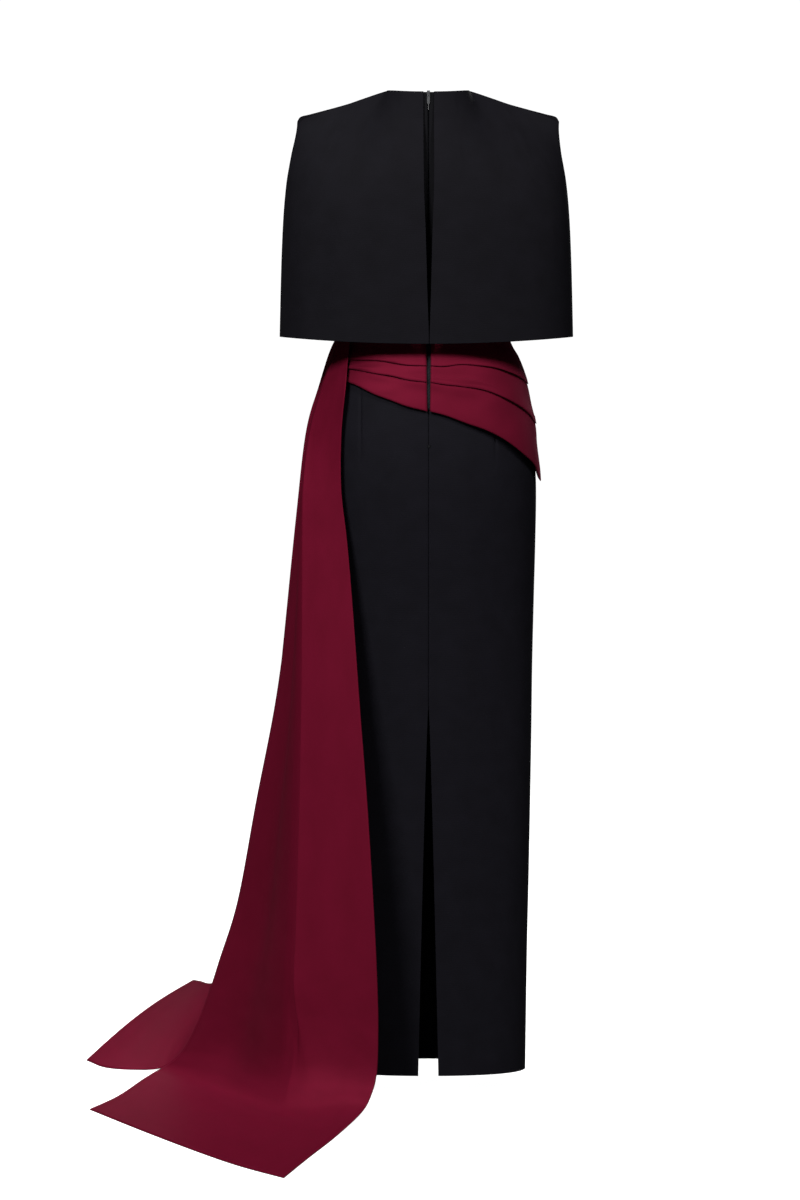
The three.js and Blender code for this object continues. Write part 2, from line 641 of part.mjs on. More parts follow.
// Pull tab: a plate hanging on its crossbar inside the bail, with a window that clears the bail as it swings
function pullTab(name) {
  const half = tab.width / 2;
  const plate = new THREE.Shape([
    new THREE.Vector2(-half, tab.bar / 2), new THREE.Vector2(-half, -tab.reach + half),
    new THREE.Vector2(-half / 2, -tab.reach), new THREE.Vector2(half / 2, -tab.reach),
    new THREE.Vector2(half, -tab.reach + half), new THREE.Vector2(half, tab.bar / 2),
  ]);
  plate.holes.push(new THREE.Path([
    new THREE.Vector2(-tab.windowWidth / 2, -tab.windowEnd), new THREE.Vector2(-tab.windowWidth / 2, -tab.bar / 2),
    new THREE.Vector2(tab.windowWidth / 2, -tab.bar / 2), new THREE.Vector2(tab.windowWidth / 2, -tab.windowEnd),
  ]));
  const geometry = new THREE.ExtrudeGeometry(plate, { depth: tab.thick, bevelEnabled: false });
  geometry.rotateX(Math.PI / 2);
  geometry.translate(0, tab.thick / 2, 0);
  const mesh = namedMesh(name, looks.nickel(), geometry);
  mesh.position.set(0, hingeY, hingeZ);
  return mesh;
}

const openingEdge = (hand) => (z) => hand * along(capeOpeningRows, 'z', z, hand < 0 ? 'left' : 'right');
const onePanel = (hand) => (u) => ({ turn: u, hand });
const bothSides = (u) => ({ turn: Math.abs(2 * u - 1), hand: Math.sign(u - 0.5) || 1 });

const gown = new THREE.Group();
gown.add(
  capeBack('cape_back_left', -1, openingEdge(-1)),
  capeBack('cape_back_right', 1, openingEdge(1)),
  capeFront('cape_front'),
  bodiceBack('bodice_back_left', -1),
  bodiceBack('bodice_back_right', 1),
  bodiceFront('bodice_front'),
  skirtBack('skirt_back_left', -1),
  skirtBack('skirt_back_right', 1),
  skirtFront('skirt_front'),
  drapePanel('drape_back_left', 'back', evenStops(8), onePanel(-1)),
  drapePanel('drape_back_right', 'back', evenStops(8), onePanel(1)),
  drapePanel('drape_front', 'front', evenStops(16), bothSides),
  trainFrontTail('train_front_tail'),
  trainRearTail('train_rear_tail'),
  zipTape('zip_tape_left', -1),
  zipTape('zip_tape_right', 1),
  sliderMesh('zip_slider'),
  pullTab('zip_pull_tab'),
);

export default gown;
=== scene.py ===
# Evening gown, worn and hollow, seen from behind: crepe cape and column skirt, satin hip drape and train.
# Sizes are in millimetres in the tables and become metres where a vertex is placed.
import math
import bpy
import bmesh
from mathutils import Matrix, Vector


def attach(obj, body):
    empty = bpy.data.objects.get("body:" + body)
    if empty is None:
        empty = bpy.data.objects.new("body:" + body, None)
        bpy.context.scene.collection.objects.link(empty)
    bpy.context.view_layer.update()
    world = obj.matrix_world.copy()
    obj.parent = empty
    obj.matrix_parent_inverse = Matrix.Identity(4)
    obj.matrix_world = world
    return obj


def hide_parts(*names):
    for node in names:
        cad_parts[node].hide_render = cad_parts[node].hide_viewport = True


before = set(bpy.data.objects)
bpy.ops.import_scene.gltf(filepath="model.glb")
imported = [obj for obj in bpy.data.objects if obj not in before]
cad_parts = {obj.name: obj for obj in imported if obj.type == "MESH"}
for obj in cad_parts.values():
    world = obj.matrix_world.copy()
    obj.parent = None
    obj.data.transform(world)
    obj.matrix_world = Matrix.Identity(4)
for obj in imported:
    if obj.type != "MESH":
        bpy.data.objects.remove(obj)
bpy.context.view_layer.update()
mm = 0.001
print("gown: frame loaded")


def table(columns, *rows):
    names = columns.split()
    return [dict(zip(names, row)) for row in rows]


# heights and seams that every panel shares
gown = {"waist": -350, "hem": -1488, "floor": -1512, "slitTop": -926, "zipEnd": -530, "roundness": 2.3,
        "seamHalf": 0.12, "slitHalf": 15, "slitCurve": 0.8}
# the figure under the cloth: half width, and depth to the back and to the front, at each height
figureRows = table(
    "z half back front",
    (-60, 118, 82, 78), (-120, 134, 95, 98), (-190, 139, 96, 114), (-240, 132, 91, 110),
    (-300, 120, 83, 88), (-350, 116, 82, 78), (-382, 121, 86, 80), (-403, 132, 93, 84),
    (-436, 143, 101, 89), (-504, 157, 112, 94), (-545, 161, 116, 95), (-600, 164, 116, 95),
    (-684, 163, 109, 93), (-762, 161, 101, 91), (-872, 158.5, 93, 88), (-995, 157, 87, 84),
    (-1192, 153.5, 80, 78), (-1307, 151, 76, 75), (-1488, 148.5, 72, 72))


def clamp(value, low=0.0, high=1.0):
    return max(low, min(high, value))


def blendTo(a, b, share):
    return a + (b - a) * share


def easeIn(value):
    share = clamp(value)
    return share * share * (3 - 2 * share)


def bump(distance, width):
    return math.exp(-(distance / width) ** 2)


# value of one column at a place along the rows, by a smooth curve through them
def along(rows, key, at, column):
    last = len(rows) - 1
    way = 1 if rows[last][key] > rows[0][key] else -1
    place = clamp(at * way, rows[0][key] * way, rows[last][key] * way) * way
    i = 0
    while i < last - 1 and rows[i + 1][key] * way < place * way:
        i += 1

    def slope(k):
        before, after = rows[max(k - 1, 0)], rows[min(k + 1, last)]
        return (after[column] - before[column]) / (after[key] - before[key])

    span = rows[i + 1][key] - rows[i][key]
    s = (place - rows[i][key]) / span
    rising = s * s * (3 - 2 * s)
    return (rows[i][column] * (1 - rising) + rows[i + 1][column] * rising
            + span * (slope(i) * s * (1 - s) ** 2 - slope(i + 1) * s * s * (1 - s)))


def soften(value):
    return math.copysign(abs(value) ** (2 / gown["roundness"]), value)


# a point on the rounded section of the gown: turn is 0 at the middle and 1 at the side seam
def ringPoint(rows, z, turn, hand, face, stand=0.0):
    angle = turn * math.pi / 2
    half = along(rows, "z", z, "half") + stand
    depth = along(rows, "z", z, face) + stand
    way = -1 if face == "back" else 1
    return Vector((hand * half * soften(math.sin(angle)), way * depth * soften(math.cos(angle)), z))


def edgeTurn(rows, z, x):
    share = clamp(x / along(rows, "z", z, "half"), -1, 1)
    return math.asin(math.copysign(abs(share) ** (gown["roundness"] / 2), share)) / (math.pi / 2)


def clearOfSeam(point, face):
    way = -1 if face == "back" else 1
    if point.y * way < gown["seamHalf"]:
        point.y = way * gown["seamHalf"]
    return point


# soft troughs and ridges, one to a row: x and z of the middle, half lengths, lean and height outwards
def creaseReach(rows, x, z):
    reach = 0.0
    for row in rows:
        down = z - row["z"]
        across = x - row["x"] - row["lean"] * down
        if abs(down) < 3 * row["long"] and abs(across) < 3 * row["wide"]:
            reach += row["high"] * bump(across, row["wide"]) * bump(down, row["long"])
    return reach


# the way out from the gown's upright axis, turned a little to the front and back as the flat section is
def outOfAxis(point):
    return Vector((point.x, point.y * 1.6, 0))


def pushOut(point, reach):
    out = outOfAxis(point)
    if out.length > 0.001:
        point += out.normalized() * reach
    return point


# one side of a front panel: how far u is from the middle, and to which hand
def bothSides(u):
    return abs(2 * u - 1), (-1 if u < 0.5 else 1)


# how a panel's columns are spaced: evenly, closer at its first edge, or closer at both edges and the middle
spacing = {"atEdge": 1.25, "atSeams": 0.7}


def evenly(u):
    return u


def closerAtEdge(u):
    return u ** spacing["atEdge"]


def closerAtSeams(u):
    return u - spacing["atSeams"] * math.sin(4 * math.pi * u) / (4 * math.pi)


# each panel's cut before sewing: width and length in metres, and its area where it isn't a rectangle
cuts = {
    "cape_back_left_cloth": ((0.27, 0.385), 0.098), "cape_back_right_cloth": ((0.27, 0.385), 0.095),
    "cape_front_cloth": ((0.56, 0.375), 0.2),
    "bodice_back_left_cloth": ((0.2, 0.35), 0.053), "bodice_back_right_cloth": ((0.2, 0.35), 0.053),
    "bodice_front_cloth": ((0.42, 0.33), 0.109),
    "skirt_back_left_cloth": ((0.235, 1.14), 0.225), "skirt_back_right_cloth": ((0.235, 1.14), 0.225),
    "skirt_front_cloth": ((0.43, 1.14), 0.445),
    "drape_back_left_cloth": ((0.205, 0.2), 0.032), "drape_back_right_cloth": ((0.215, 0.3), 0.054),
    "drape_front_cloth": ((0.38, 0.26), 0.081),
    "train_front_tail_cloth": ((0.52, 1.76), 0.501), "train_rear_tail_cloth": ((0.36, 1.52), 0.295),
    "zip_tape_in_satin": ((0.0104, 0.11), None),
    "zip_tape_left_cloth": ((0.012, 0.523), None), "zip_tape_right_cloth": ((0.012, 0.523), None),
}
# cloth that bends two ways is evened out, and a pressed edge is rounded where the cloth turns more than this
pressing = {"turns": 60, "share": 0.5, "edgeSteps": 2, "edgeAngle": 55}


# one panel of cloth: a grid laid on its form, with its cut as the UV map in metres
def clothPanel(name, node, place, grid, thick, look, outside, spaced=evenly, rounded=0.0, relaxed=None):
    mesh = bpy.data.meshes.new(name)
    columns, rows = grid
    cutWide, cutLong = cuts[name][0]
    bm = bmesh.new()
    bmesh.ops.create_grid(bm, x_segments=columns, y_segments=rows, size=0.5, calc_uvs=False)
    cutLayer = bm.loops.layers.uv.new("cut")
    for face in bm.faces:
        face.smooth = True
        for loop in face.loops:
            u, v = clamp(loop.vert.co.x + 0.5), clamp(0.5 - loop.vert.co.y)
            loop[cutLayer].uv = (spaced(u) * cutWide, v * cutLong)
    slack = []
    for vert in bm.verts:
        u, v = clamp(vert.co.x + 0.5), clamp(0.5 - vert.co.y)
        if relaxed and relaxed(u, v):
            slack.append(vert)
        vert.co = place(spaced(u), v) * mm
    for turn in range(pressing["turns"] if slack else 0):
        bmesh.ops.smooth_vert(bm, verts=slack, factor=pressing["share"], use_axis_x=True, use_axis_y=True,
                              use_axis_z=True)
    bm.normal_update()
    facing = [face.normal.dot(outside(face.calc_center_median())) * face.calc_area() for face in bm.faces]
    if sum(facing) < 0:
        bmesh.ops.reverse_faces(bm, faces=bm.faces[:])
    bm.to_mesh(mesh)
    bm.free()
    piece = bpy.data.objects.new(name, mesh)
    bpy.context.scene.collection.objects.link(piece)
    wall = piece.modifiers.new("wall of cloth", "SOLIDIFY")
    wall.thickness = thick * mm
    wall.offset = -1
    if rounded:
        edge = piece.modifiers.new("pressed edge", "BEVEL")
        edge.width = rounded * mm
        edge.segments = pressing["edgeSteps"]
        edge.limit_method = "ANGLE"
        edge.angle_limit = math.radians(pressing["edgeAngle"])
        edge.harden_normals = True
    mesh.materials.append(look)
    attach(piece, "gown")
    if node:
        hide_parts(node)
    print("gown:", name)
    return piece


# materials: colours are sRGB hex values, and patterns are worked out from sizes in millimetres
def fromHex(code):
    parts = [int(code[i:i + 2], 16) / 255 for i in (1, 3, 5)]
    return tuple(p / 12.92 if p <= 0.04045 else ((p + 0.055) / 1.055) ** 2.4 for p in parts) + (1,)


def addNode(look, kind, settings=None, links=None):
    node = look.node_tree.nodes.new(kind)
    for name, value in (settings or {}).items():
        if isinstance(name, int) or name in node.inputs:
            node.inputs[name].default_value = value
        else:
            setattr(node, name, value)
    for name, socket in (links or {}).items():
        look.node_tree.links.new(socket, node.inputs[name])
    return node


def newLook(name):
    look = bpy.data.materials.new(name)
    look.use_nodes = True
    look.node_tree.nodes.clear()
    return look


# scale of a noise texture from the size of its grains, and of a wave texture from the width of its lines:
# at scale 1 a wave texture's lines are about 159 mm wide
def grainScale(size):
    return 1000 / size


def lineScale(wide):
    return 159.2 / wide


# two shades that follow a pattern's value, between the two places on its scale where they are reached
def shades(look, pattern, darkHex, lightHex, low=0.0, high=1.0):
    ramp = addNode(look, "ShaderNodeValToRGB", {}, {"Fac": pattern})
    dark, light = ramp.color_ramp.elements
    dark.position, light.position = low, high
    dark.color, light.color = fromHex(darkHex), fromHex(lightHex)
    return ramp.outputs["Color"]


def finishLook(look, settings, links):
    shader = addNode(look, "ShaderNodeBsdfPrincipled", settings, links)
    addNode(look, "ShaderNodeOutputMaterial", {}, {"Surface": shader.outputs["BSDF"]})
    return look


# crepe: matte wool-and-silk cloth of hard-twisted yarns, whose kinks give the eye a fine dry pebble.
# The real pebble is 0.4 mm and is drawn at 1.1 mm so that it shows. The shade drifts over some 35 mm.
crepe = {"pebble": 1.1, "mottle": 35.0, "weft": 1.4, "weftWander": 6.0, "weftShare": 0.6, "darkAt": 0.1,
         "lightAt": 0.45, "relief": 0.22, "deep": 0.2, "roughness": 0.8, "gloss": 0.07}


def crepeLook(name, darkHex, lightHex):
    look = newLook(name)
    cut = addNode(look, "ShaderNodeUVMap", {"uv_map": "cut"}).outputs["UV"]
    pebble = addNode(look, "ShaderNodeTexNoise",
                     {"Scale": grainScale(crepe["pebble"]), "Detail": 3.0, "Roughness": 0.6}, {"Vector": cut})
    weft = addNode(look, "ShaderNodeTexWave",
                   {"Scale": lineScale(crepe["weft"]), "Distortion": crepe["weftWander"], "Detail": 2.0,
                    "bands_direction": "Y"}, {"Vector": cut})
    mottle = addNode(look, "ShaderNodeTexNoise", {"Scale": grainScale(crepe["mottle"]), "Detail": 4.0},
                     {"Vector": cut})
    grain = addNode(look, "ShaderNodeMath", {"operation": "MULTIPLY_ADD", 1: crepe["weftShare"]},
                    {0: pebble.outputs["Fac"], 2: weft.outputs["Fac"]})
    shade = addNode(look, "ShaderNodeMath", {"operation": "MULTIPLY"},
                    {0: mottle.outputs["Fac"], 1: pebble.outputs["Fac"]})
    relief = addNode(look, "ShaderNodeBump", {"Strength": crepe["relief"], "Distance": crepe["deep"] * mm},
                     {"Height": grain.outputs[0]})
    return finishLook(
        look, {"Roughness": crepe["roughness"], "Specular IOR Level": crepe["gloss"]},
        {"Base Color": shades(look, shade.outputs[0], darkHex, lightHex, crepe["darkAt"], crepe["lightAt"]),
         "Normal": relief.outputs["Normal"]})


# duchess satin: long silk floats lie side by side, which give a soft broad sheen and very fine lines along
# the warp. The real floats are 0.12 mm wide and are drawn 0.9 mm wide. They shine in the cloth's own red, so
# part of the shine is tinted. Drape and train are one satin in two copies, set apart to the light on each.
satin = {"floatLine": 0.9, "floatWander": 2.5, "floatRelief": 0.05, "floatDeep": 0.1, "slub": 9.0,
         "slubShare": 0.3, "ripple": 55.0, "rippleRelief": 0.07, "rippleDeep": 2.0, "darkAt": 0.4,
         "lightAt": 0.95, "roughness": 0.6, "gloss": 0.02, "sheenRoughness": 0.4, "sheenTint": "#f07c9c"}


def satinLook(name, darkHex, lightHex, sheen, tinted):
    look = newLook(name)
    cut = addNode(look, "ShaderNodeUVMap", {"uv_map": "cut"}).outputs["UV"]
    floats = addNode(look, "ShaderNodeTexWave",
                     {"Scale": lineScale(satin["floatLine"]), "Distortion": satin["floatWander"],
                      "Detail": 2.0, "Detail Scale": 2.0, "bands_direction": "X"}, {"Vector": cut})
    slub = addNode(look, "ShaderNodeTexNoise", {"Scale": grainScale(satin["slub"]), "Detail": 3.0},
                   {"Vector": cut})
    ripple = addNode(look, "ShaderNodeTexNoise", {"Scale": grainScale(satin["ripple"]), "Detail": 1.5},
                     {"Vector": cut})
    shade = addNode(look, "ShaderNodeMath", {"operation": "MULTIPLY_ADD", 1: satin["slubShare"]},
                    {0: slub.outputs["Fac"], 2: ripple.outputs["Fac"]})
    fine = addNode(look, "ShaderNodeBump",
                   {"Strength": satin["floatRelief"], "Distance": satin["floatDeep"] * mm},
                   {"Height": floats.outputs["Fac"]})
    soft = addNode(look, "ShaderNodeBump",
                   {"Strength": satin["rippleRelief"], "Distance": satin["rippleDeep"] * mm},
                   {"Height": ripple.outputs["Fac"], "Normal": fine.outputs["Normal"]})
    return finishLook(
        look, {"Roughness": satin["roughness"], "Metallic": tinted, "Sheen Weight": sheen,
               "Sheen Roughness": satin["sheenRoughness"], "Sheen Tint": fromHex(satin["sheenTint"]),
               "Specular IOR Level": satin["gloss"]},
        {"Base Color": shades(look, shade.outputs[0], darkHex, lightHex, satin["darkAt"], satin["lightAt"]),
         "Normal": soft.outputs["Normal"]})


# polyester zip tape: woven ribs 1.2 mm wide that run aslant, nearly matt
zipTape = {"rib": 1.2, "ribWander": 1.0, "relief": 0.3, "deep": 0.2, "roughness": 0.7, "gloss": 0.08}


def tapeLook(name, darkHex, lightHex):
    look = newLook(name)
    cut = addNode(look, "ShaderNodeUVMap", {"uv_map": "cut"}).outputs["UV"]
    ribs = addNode(look, "ShaderNodeTexWave",
                   {"Scale": lineScale(zipTape["rib"]), "Distortion": zipTape["ribWander"],
                    "bands_direction": "DIAGONAL"}, {"Vector": cut}).outputs["Fac"]
    relief = addNode(look, "ShaderNodeBump", {"Strength": zipTape["relief"], "Distance": zipTape["deep"] * mm},
                     {"Height": ribs})
    return finishLook(
        look, {"Roughness": zipTape["roughness"], "Specular IOR Level": zipTape["gloss"]},
        {"Base Color": shades(look, ribs, darkHex, lightHex), "Normal": relief.outputs["Normal"]})


# nickel-plated zinc, die-cast and barrel-polished: a bright grey mirror with faint rub marks 0.6 mm apart
nickel = {"rub": 0.6, "smooth": 0.16, "rubbed": 0.34, "relief": 0.08, "deep": 0.1}


def nickelLook(name, darkHex, lightHex):
    look = newLook(name)
    spot = addNode(look, "ShaderNodeTexCoord").outputs["Object"]
    rubs = addNode(look, "ShaderNodeTexNoise", {"Scale": grainScale(nickel["rub"]), "Detail": 3.0},
                   {"Vector": spot}).outputs["Fac"]
    dull = addNode(look, "ShaderNodeMapRange", {"To Min": nickel["smooth"], "To Max": nickel["rubbed"]},
                   {"Value": rubs})
    relief = addNode(look, "ShaderNodeBump", {"Strength": nickel["relief"], "Distance": nickel["deep"] * mm},
                     {"Height": rubs})
    return finishLook(
        look, {"Metallic": 1.0},
        {"Base Color": shades(look, rubs, darkHex, lightHex), "Roughness": dull.outputs["Result"],
         "Normal": relief.outputs["Normal"]})


# nylon coil and silk thread: smooth black filament with a slight shine
filament = {"twist": 0.8, "roughness": 0.6, "gloss": 0.15}


def threadLook(name, darkHex, lightHex):
    look = newLook(name)
    spot = addNode(look, "ShaderNodeTexCoord").outputs["Object"]
    twist = addNode(look, "ShaderNodeTexNoise", {"Scale": grainScale(filament["twist"]), "Detail": 2.0},
                    {"Vector": spot}).outputs["Fac"]
    return finishLook(look, {"Roughness": filament["roughness"], "Specular IOR Level": filament["gloss"]},
                      {"Base Color": shades(look, twist, darkHex, lightHex)})


# the cape, bodice and skirt are one black crepe in three copies, set apart to how light falls on each: the
# bodice's is painted darker, as painted shade in the cape's opening, and the skirt's a little lighter, as
# painted light
capeCrepe = crepeLook("cape crepe", "#0a090d", "#0f0e13")
bodiceCrepe = crepeLook("bodice crepe", "#060608", "#0b0a0e")
skirtCrepe = crepeLook("skirt crepe", "#0c0b10", "#111016")
# the drape's copy gets more sheen and the train's copy none, with a base painted a little lighter as painted
# light, so each matches the light that falls on it
drapeSatin = satinLook("burgundy duchess satin, drape copy", "#550c1f", "#5a0d22", 0.16, 0.35)
trainSatin = satinLook("burgundy duchess satin, train copy painted lighter", "#570b1f", "#5c0c22", 0.0, 0.2)
zipTapeCloth = tapeLook("woven zip tape", "#08080b", "#121216")
# the same tape again with its colour painted lighter, as painted light, for the strip that shows in the satin's
# slit
zipTapePaintedLighter = tapeLook("woven zip tape, painted lighter in the satin slit", "#0c0f12", "#1a1f22")
polishedNickel = nickelLook("polished nickel plate", "#b4b6ba", "#dadcdf")
blackNylon = threadLook("black nylon coil", "#060608", "#1c1c22")
tackThread = threadLook("black silk thread", "#060608", "#101014")
print("gown: materials")


# cape: cut away from the figure, its back open down the middle
cape = {"thick": 1.8, "neckHalf": 62, "neckBack": 58.5, "neckFront": 56, "backDrop": 4.4, "frontDrop": 26,
        "neckShare": 0.32, "fall": 5, "sideHem": -373, "backDip": 10.3, "sway": -2.7, "swayFrom": 0.15,
        "swayClear": 60, "columns": 84, "rows": 96, "pressedEdge": 0.6, "sideCalm": 25}
capeRows = table(
    "z half back front",
    (-47, 198.5, 82, 90), (-75, 206, 97, 108), (-100, 210.5, 105, 120), (-140, 215.5, 110, 129),
    (-240, 219.5, 115, 134), (-384, 223, 121, 137))
capeShoulderRows = table(
    "along x z",
    (0, 62, 0), (0.1, 75, -4), (0.28, 100, -12.5), (0.46, 124, -20.7), (0.87, 180, -36),
    (0.95, 194, -40), (1, 198.5, -47))
capeOpeningRows = table(
    "z left right",
    (0, -7.4, 8.3), (-146, -6.5, 8.3), (-213, -4.2, 5.9), (-312, -1.5, 3.3), (-367, 0.3, 1.5),
    (-384, 0.4, 1.2))
# the stretch of each panel round the shoulder where the cloth bends two ways
capeBend = {"backFrom": 0.18, "backTo": 0.62, "frontFrom": 0.12, "frontTo": 0.56, "under": 0.004, "down": 0.34}
# the cloth breaks softly below the shoulders and over the back, more on the wearer's left
capeCreases = table(
    "x z long wide lean high",
    (-120, -210, 90, 22, 0.22, 1.5), (-158, -250, 100, 14, 0.10, -1.2), (-62, -300, 70, 18, -0.08, 1.0),
    (88, -235, 95, 20, -0.16, 1.4), (140, -290, 85, 16, -0.06, -1.1), (52, -180, 80, 16, 0.05, 0.8),
    (-188, -310, 70, 12, 0.02, 1.2), (186, -200, 90, 12, 0.0, 1.0))


def capeTop(u, hand, face):
    way = -1 if face == "back" else 1
    if u < cape["neckShare"]:
        angle = u / cape["neckShare"] * math.pi / 2
        drop = cape["backDrop"] if face == "back" else cape["frontDrop"]
        reach = cape["neckBack"] if face == "back" else cape["neckFront"]
        return Vector((hand * cape["neckHalf"] * math.sin(angle), way * reach * math.cos(angle),
                       -drop * math.cos(angle) ** 2))
    s = (u - cape["neckShare"]) / (1 - cape["neckShare"])
    out = along(capeShoulderRows, "along", s, "x")
    return Vector((hand * out, 0, along(capeShoulderRows, "along", s, "z")))


def capePoint(u, v, hand, face, edge):
    top = capeTop(u, hand, face)
    share = soften(math.sin(u * math.pi / 2))
    dip = cape["backDip"] * (1 - share * share) if face == "back" else 0
    z = blendTo(top.z, cape["sideHem"] - dip, v)
    start = edgeTurn(capeRows, z, edge(z)) if edge else 0
    onRing = ringPoint(capeRows, z, start + (1 - start) * u, hand, face)
    falling = 1 - (1 - v) ** cape["fall"]
    point = Vector((blendTo(top.x, onRing.x, falling), blendTo(top.y, onRing.y, falling), z))
    if edge and u < cape["neckShare"]:
        point.x += hand * edge(z) * (1 - falling) * (1 - u / cape["neckShare"])
    point.x += cape["sway"] * min(v / cape["swayFrom"], 1) * min(abs(point.x) / cape["swayClear"], 1)
    where = point.x if face == "back" else -point.x
    away = clamp(abs(point.y) / cape["sideCalm"])
    return clearOfSeam(pushOut(point, creaseReach(capeCreases, where, z) * away * falling), face)


def openingEdge(hand):
    return lambda z: hand * along(capeOpeningRows, "z", z, "left" if hand < 0 else "right")


def bendsAtBack(u, v):
    return capeBend["backFrom"] < u < capeBend["backTo"] and capeBend["under"] < v < capeBend["down"]


def bendsAtFront(u, v):
    turn = abs(2 * u - 1)
    return capeBend["frontFrom"] < turn < capeBend["frontTo"] and capeBend["under"] < v < capeBend["down"]


def makeCape():
    made = []
    for side, hand in (("left", -1), ("right", 1)):
        def back(u, v, hand=hand):
            return capePoint(u, v, hand, "back", openingEdge(hand))

        made.append(clothPanel(
            f"cape_back_{side}_cloth", f"cape_back_{side}", back, (cape["columns"], cape["rows"]), cape["thick"],
            capeCrepe, outOfAxis, spaced=closerAtEdge, rounded=cape["pressedEdge"],
            relaxed=bendsAtBack))

    def front(u, v):
        turn, hand = bothSides(u)
        return capePoint(turn, v, hand, "front", None)

    made.append(clothPanel(
        "cape_front_cloth", "cape_front", front, (2 * cape["columns"], cape["rows"]), cape["thick"], capeCrepe,
        outOfAxis, rounded=cape["pressedEdge"], relaxed=bendsAtFront))
    return made


# bodice: sleeveless, under the cape
bodice = {"thick": 1.0, "neckHalf": 59.1, "neckBack": 56.1, "neckFront": 53.6, "backDrop": 5.4, "sideDrop": 4,
          "frontDrop": 28, "zipHalf": 1, "neckShare": 0.34, "strapShare": 0.5, "scoop": 42, "fall": 3,
          "columns": 60, "rows": 80}
strapRows = table("along x z", (0, 59.1, -4), (1, 100, -17))
armholeRows = table("along x z", (0, 100, -17), (0.25, 105, -58), (0.5, 112, -108), (0.75, 123, -158),
                    (1, 139, -195))


def bodiceTop(u, hand, face):
    way = -1 if face == "back" else 1
    if u < bodice["neckShare"]:
        angle = u / bodice["neckShare"] * math.pi / 2
        drop = bodice["backDrop"] if face == "back" else bodice["frontDrop"]
        reach = bodice["neckBack"] if face == "back" else bodice["neckFront"]
        return Vector((hand * bodice["neckHalf"] * math.sin(angle), way * reach * math.cos(angle),
                       -bodice["sideDrop"] * math.sin(angle) ** 2 - drop * math.cos(angle) ** 2))
    if u < bodice["strapShare"]:
        s = (u - bodice["neckShare"]) / (bodice["strapShare"] - bodice["neckShare"])
        return Vector((hand * along(strapRows, "along", s, "x"), 0, along(strapRows, "along", s, "z")))
    s = (u - bodice["strapShare"]) / (1 - bodice["strapShare"])
    return Vector((hand * along(armholeRows, "along", s, "x"), way * bodice["scoop"] * math.sin(math.pi * s),
                   along(armholeRows, "along", s, "z")))


def bodicePoint(u, v, hand, face, half):
    top = bodiceTop(u, hand, face)
    z = blendTo(top.z, gown["waist"] + gown["seamHalf"], v)
    start = edgeTurn(figureRows, z, half) if half else 0
    onRing = ringPoint(figureRows, z, start + (1 - start) * u, hand, face)
    falling = 1 - (1 - v) ** bodice["fall"]
    point = top.lerp(onRing, falling)
    point.z = z
    if half and u < bodice["neckShare"]:
        point.x += hand * half * (1 - falling) * (1 - u / bodice["neckShare"])
    return clearOfSeam(point, face)


def makeBodice():
    made = []
    for side, hand in (("left", -1), ("right", 1)):
        def back(u, v, hand=hand):
            return bodicePoint(u, v, hand, "back", bodice["zipHalf"])

        made.append(clothPanel(
            f"bodice_back_{side}_cloth", f"bodice_back_{side}", back, (bodice["columns"], bodice["rows"]),
            bodice["thick"], bodiceCrepe, outOfAxis, spaced=closerAtEdge))

    def front(u, v):
        turn, hand = bothSides(u)
        return bodicePoint(turn, v, hand, "front", 0)

    made.append(clothPanel(
        "bodice_front_cloth", "bodice_front", front, (2 * bodice["columns"], bodice["rows"]), bodice["thick"],
        bodiceCrepe, outOfAxis))
    return made


# skirt: a column with a slit up the back and a waist dart on each side of it
skirt = {"thick": 1.4, "columns": 120, "rows": 190, "frontColumns": 180, "frontRows": 150, "pressedEdge": 0.5,
         "seamDip": 0.8, "seamWide": 1.6, "dartDip": 2.1, "dartWide": 1.5, "dartFade": 40, "sideSeamWide": 1.8,
         "sideCalm": 20, "waistCalm": 60}
darts = table("side x top foot", (-1, -102, -380, -566), (1, 100.6, -380, -564))
skirtCreases = table(
    "x z long wide lean high",
    (-70, -700, 150, 26, 0.04, 1.0), (60, -760, 190, 24, -0.05, 1.2), (110, -900, 210, 20, -0.02, -1.1),
    (-40, -1030, 160, 18, 0.05, -0.8), (44, -1150, 180, 18, -0.02, 1.1), (122, -1230, 190, 18, 0.03, 1.2),
    (-96, -1250, 180, 22, -0.02, 1.0), (86, -620, 60, 18, 0.3, 0.8), (-20, -640, 70, 20, -0.35, 0.7))


def slitEdge(z):
    opened = clamp((gown["slitTop"] - z) / (gown["slitTop"] - gown["hem"]))
    return gown["seamHalf"] + gown["slitHalf"] * opened ** gown["slitCurve"]


def skirtPoint(u, v, hand, face):
    z = blendTo(gown["waist"], gown["hem"], v)
    start = edgeTurn(figureRows, z, slitEdge(z)) if face == "back" else 0
    point = ringPoint(figureRows, z, start + (1 - start) * u, hand, face)
    reach = 0.0
    if face == "back":
        # the seam is pressed in above the slit
        if z > gown["slitTop"]:
            reach -= skirt["seamDip"] * bump(point.x, skirt["seamWide"])
        for dart in darts:
            if dart["side"] == hand and dart["foot"] < z < dart["top"]:
                fading = clamp((z - dart["foot"]) / skirt["dartFade"])
                reach -= skirt["dartDip"] * fading * bump(point.x - dart["x"], skirt["dartWide"])
    away = clamp(abs(point.y) / skirt["sideCalm"]) * clamp((gown["waist"] - z) / skirt["waistCalm"])
    where = point.x if face == "back" else -point.x
    reach += creaseReach(skirtCreases, where, z) * away
    reach -= skirt["seamDip"] * bump(point.y, skirt["sideSeamWide"])
    return clearOfSeam(pushOut(point, reach), face)


